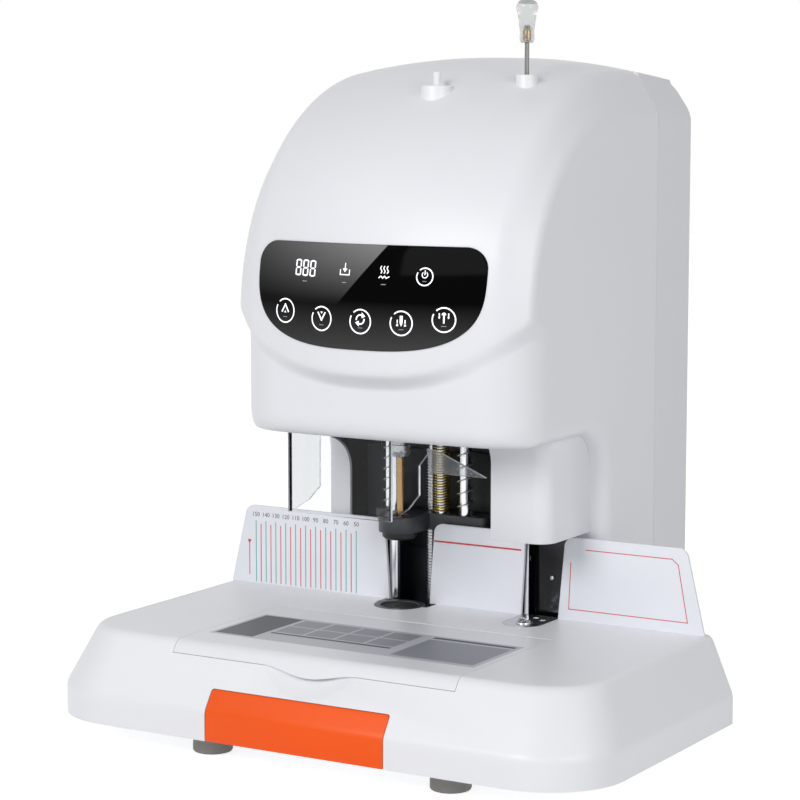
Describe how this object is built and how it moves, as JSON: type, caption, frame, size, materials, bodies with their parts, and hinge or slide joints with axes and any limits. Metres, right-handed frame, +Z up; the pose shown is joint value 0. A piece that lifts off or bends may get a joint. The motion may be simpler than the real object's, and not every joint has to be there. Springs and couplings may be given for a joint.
{
  "type": "document riveting machine",
  "caption": "desk-top document riveting machine with a drill station, a heated rivet press, a paper fence and a rounded head",
  "frame": {"origin": "on the floor at the centre of the machine's bounding box", "axes": "+Z is up, -Y is the front with the table and drawer, +X is to the right seen from the front"},
  "size_m": [0.481, 0.404, 0.576],
  "materials": {
    "body_plastic": "satin",
    "lid_plastic": "satin",
    "rear_plastic": "satin",
    "fence_plastic": "satin",
    "orange_plastic": "satin",
    "black_plastic": "moulded",
    "clear_plastic": "clear",
    "black_glass": "polished",
    "white_nylon": "moulded",
    "board_green": "printed circuit",
    "foot_rubber": "moulded",
    "pad_rubber": "moulded",
    "plate_steel": "zinc plated",
    "bright_steel": "turned",
    "chrome_rod": "ground",
    "spring_steel": "drawn wire",
    "gold_zinc": "yellow zinc",
    "bronze": "turned",
    "cast_metal": "cast and milled",
    "dark_metal": "black oxide",
    "black_metal": "gloss paint",
    "motor_metal": "satin paint"
  },
  "bodies": {
    "frame": {"base_shell": "body_plastic", "base_plate": "plate_steel", "rubber_feet": "foot_rubber", "lid_hinge_pin": "bright_steel", "fence_left": "fence_plastic", "fence_middle": "fence_plastic", "fence_right": "fence_plastic", "pad_cup": "dark_metal", "cutting_pad": "pad_rubber", "anvil_plate": "bright_steel", "lower_anvil": "bright_steel", "anvil_arm": "black_metal", "rivet_post": "black_metal", "rivet_arm": "black_metal", "column_base": "dark_metal", "left_column": "chrome_rod", "right_column": "chrome_rod", "inner_panel": "black_plastic", "back_frame": "plate_steel", "upper_bridge": "dark_metal", "feed_motor": "motor_metal", "power_supply": "plate_steel", "main_board": "board_green", "display_board": "board_green", "clear_guard": "clear_plastic", "chip_deflector": "clear_plastic", "rivet_cover": "body_plastic", "rivet_actuator": "motor_metal", "front_shell": "body_plastic", "rear_shell": "rear_plastic", "control_glass": "black_glass", "tube_boss": "body_plastic", "nylon_tube": "white_nylon", "pin_boss": "body_plastic", "inlet_socket": "black_plastic"},
    "lid": {"table_lid": "lid_plastic"},
    "drawer": {"chip_drawer": "orange_plastic"},
    "carriage": {"crosshead": "cast_metal", "column_bushes": "bronze", "feed_nut": "bronze", "spindle_housing": "cast_metal", "spindle_bearings": "bright_steel", "drill_motor": "motor_metal"},
    "spindle": {"drill_spindle": "bright_steel", "drill_bit": "bronze"},
    "screw": {"lead_screw": "bright_steel"},
    "presser": {"press_bar": "dark_metal", "presser_foot": "black_plastic", "left_rod": "chrome_rod", "middle_rod": "chrome_rod", "gold_spring": "gold_zinc", "left_spring": "spring_steel", "right_spring": "spring_steel"},
    "ram": {"rivet_ram": "chrome_rod", "rivet_heater": "bright_steel", "rivet_punch": "bronze"},
    "pin": {"clearing_pin": "bright_steel", "pin_handle": "clear_plastic"},
    "rocker": {"rocker_switch": "black_plastic"}
  },
  "joints": [
    {"name": "drill_feed", "type": "slide", "parent": "frame", "child": "carriage", "axis": [0, 0, -1], "range_m": [0, 0.054]},
    {"name": "drill_spin", "type": "hinge", "parent": "carriage", "child": "spindle", "pos_m": [-0.044, 0.025, 0.25], "axis": [0, 0, 1], "continuous": true},
    {"name": "lead_screw_spin", "type": "hinge", "parent": "frame", "child": "screw", "pos_m": [-0.035, 0.062, 0.1], "axis": [0, 0, 1], "range_deg": [0, 8200]},
    {"name": "presser_lift", "type": "slide", "parent": "carriage", "child": "presser", "axis": [0, 0, 1], "range_m": [0, 0.045], "stiffness_N_per_m": 600, "springref_m": -0.03, "deforming": ["gold_spring", "left_spring", "right_spring"]},
    {"name": "rivet_feed", "type": "slide", "parent": "frame", "child": "ram", "axis": [0, 0, -1], "range_m": [0, 0.074]},
    {"name": "drawer_slide", "type": "slide", "parent": "frame", "child": "drawer", "axis": [0, -1, 0], "range_m": [0, 0.11]},
    {"name": "lid_hinge", "type": "hinge", "parent": "frame", "child": "lid", "pos_m": [0, -0.0305, 0.0885], "axis": [-1, 0, 0], "range_deg": [0, 60]},
    {"name": "pin_lift", "type": "slide", "parent": "frame", "child": "pin", "axis": [0, 0, 1], "range_m": [0, 0.06]},
    {"name": "power_rocker", "type": "hinge", "parent": "frame", "child": "rocker", "pos_m": [-0.024, 0.199, 0.096], "axis": [-1, 0, 0], "range_deg": [0, 16]}
  ],
  "couplings": [
    {"joint": "lead_screw_spin", "follows": "drill_feed", "rad_per_m": 2618}
  ]
}
